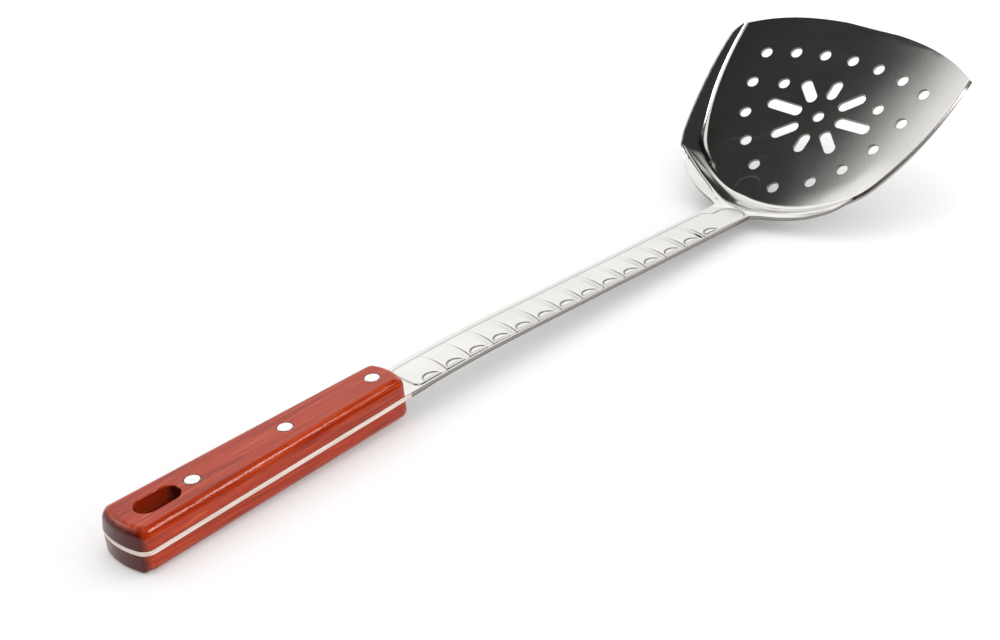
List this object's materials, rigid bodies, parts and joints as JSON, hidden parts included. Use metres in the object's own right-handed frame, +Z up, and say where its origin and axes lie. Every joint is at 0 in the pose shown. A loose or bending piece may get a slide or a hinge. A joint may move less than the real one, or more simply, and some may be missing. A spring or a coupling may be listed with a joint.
{
  "type": "slotted spatula",
  "caption": "Slotted wok turner: a dished, pierced steel scoop with raised walls on a long patterned shank, and two riveted wooden scales with a hanging slot.",
  "frame": {"origin": "on the table, under the middle of the object's box, as it lies on its butt and its heel", "axes": "+X from the butt towards the blade's front edge, +Y to the user's left, +Z up from the table"},
  "size_m": [0.3832, 0.1176, 0.052],
  "materials": {
    "sheet_steel": "polished stainless steel with fine scratches",
    "handle_wood": "red-brown wood under a clear glossy lacquer",
    "rivet_metal": "bright satin"
  },
  "bodies": {
    "root": {"blade_shank_tang": "sheet_steel", "upper_scale": "handle_wood", "lower_scale": "handle_wood", "butt_rivet_socket": "rivet_metal", "butt_rivet_pin": "rivet_metal", "middle_rivet_socket": "rivet_metal", "middle_rivet_pin": "rivet_metal", "front_rivet_socket": "rivet_metal", "front_rivet_pin": "rivet_metal"}
  },
  "joints": []
}
